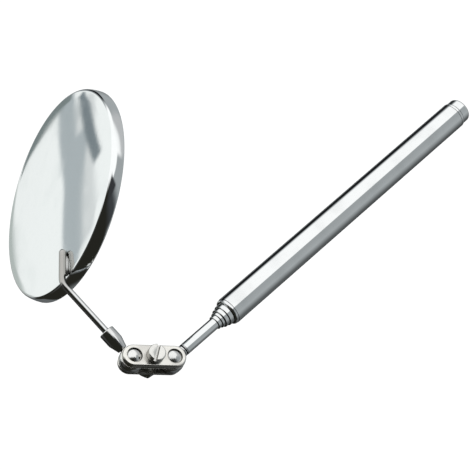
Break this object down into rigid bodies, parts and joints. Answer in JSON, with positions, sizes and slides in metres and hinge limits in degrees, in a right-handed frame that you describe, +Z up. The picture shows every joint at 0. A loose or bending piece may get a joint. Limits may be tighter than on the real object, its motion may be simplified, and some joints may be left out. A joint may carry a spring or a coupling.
{
  "type": "telescoping inspection mirror",
  "caption": "Round inspection mirror on a bent wire arm with a double ball joint, held by a telescoping tubular mast and handle.",
  "frame": {"origin": "middle of the outline seen from above, on the plane that the tool lies on", "axes": "+X along the handle towards its rear end, +Z up from the table; the handle lies on the table and the mirror leans on its rim"},
  "size_m": [0.1688, 0.1066, 0.061],
  "materials": {
    "handle_chrome": "polished chrome plate",
    "mast_chrome": "polished chrome plate",
    "stud_chrome": "bright turned and plated",
    "ball_steel": "polished ball",
    "satin_nickel": "satin nickel plate",
    "screw_steel": "nickel plated",
    "wire_chrome": "polished chrome plate",
    "solder": "plated braze",
    "shell_chrome": "mirror-bright chrome plate on a pressed shell",
    "mirror_glass": "silvered glass",
    "pad": "grey felt",
    "spring_bronze": "spring bronze"
  },
  "bodies": {
    "handle": {"outer_tube": "handle_chrome", "nose_collar": "handle_chrome", "end_cap": "handle_chrome"},
    "tube_5": {"tube_5": "mast_chrome", "friction_sleeve_5": "spring_bronze"},
    "tube_4": {"tube_4": "mast_chrome", "friction_sleeve_4": "spring_bronze"},
    "tube_3": {"tube_3": "mast_chrome", "friction_sleeve_3": "spring_bronze"},
    "tube_2": {"tube_2": "mast_chrome", "friction_sleeve_2": "spring_bronze"},
    "tube_1": {"tube_1": "mast_chrome", "friction_sleeve_1": "spring_bronze"},
    "stud_a": {"ball_stud_a": "stud_chrome"},
    "ball_a": {"ball_a": "ball_steel"},
    "clamp": {"clamp_plate_top": "satin_nickel", "clamp_plate_bottom": "satin_nickel", "clamp_nut": "screw_steel"},
    "screw": {"clamp_screw": "screw_steel"},
    "ball_b": {"ball_b": "ball_steel"},
    "ferrule": {"ball_stud_b": "stud_chrome"},
    "mirror": {"wire_arm": "wire_chrome", "solder_bead": "solder", "mirror_shell": "shell_chrome", "mirror_glass": "mirror_glass", "backing_pad": "pad"}
  },
  "joints": [
    {"name": "section_5_slide", "type": "slide", "parent": "handle", "child": "tube_5", "axis": [-1, 0, 0], "range_m": [0, 0.095]},
    {"name": "section_4_slide", "type": "slide", "parent": "tube_5", "child": "tube_4", "axis": [-1, 0, 0], "range_m": [0, 0.095]},
    {"name": "section_3_slide", "type": "slide", "parent": "tube_4", "child": "tube_3", "axis": [-1, 0, 0], "range_m": [0, 0.095]},
    {"name": "section_2_slide", "type": "slide", "parent": "tube_3", "child": "tube_2", "axis": [-1, 0, 0], "range_m": [0, 0.095]},
    {"name": "section_1_slide", "type": "slide", "parent": "tube_2", "child": "tube_1", "axis": [-1, 0, 0], "range_m": [0, 0.095]},
    {"name": "mast_turn", "type": "hinge", "parent": "tube_1", "child": "stud_a", "pos_m": [-0.06949, -0.04798, 0.00543], "axis": [1, 0, 0], "continuous": true},
    {"name": "ball_a_tilt", "type": "hinge", "parent": "stud_a", "child": "ball_a", "pos_m": [-0.06949, -0.04798, 0.00543], "axis": [0, 0.8659, 0.5003], "range_deg": [-17, 3]},
    {"name": "ball_a_swing", "type": "hinge", "parent": "ball_a", "child": "clamp", "pos_m": [-0.06949, -0.04798, 0.00543], "axis": [0.1219, -0.4966, 0.8594], "range_deg": [-50, 130]},
    {"name": "screw_turn", "type": "hinge", "parent": "clamp", "child": "screw", "pos_m": [-0.07471, -0.04452, 0.00817], "axis": [0.1219, -0.4966, 0.8594], "range_deg": [-90, 180]},
    {"name": "ball_b_swing", "type": "hinge", "parent": "clamp", "child": "ball_b", "pos_m": [-0.07992, -0.04106, 0.01091], "axis": [-0.1219, 0.4966, -0.8594], "range_deg": [-141, 39]},
    {"name": "ball_b_tilt", "type": "hinge", "parent": "ball_b", "child": "ferrule", "pos_m": [-0.07992, -0.04106, 0.01091], "axis": [-0.9925, -0.0625, 0.1046], "range_deg": [-9, 9]},
    {"name": "arm_turn", "type": "hinge", "parent": "ferrule", "child": "mirror", "pos_m": [-0.07992, -0.04106, 0.01091], "axis": [0.001, 0.8543, 0.5199], "continuous": true}
  ]
}
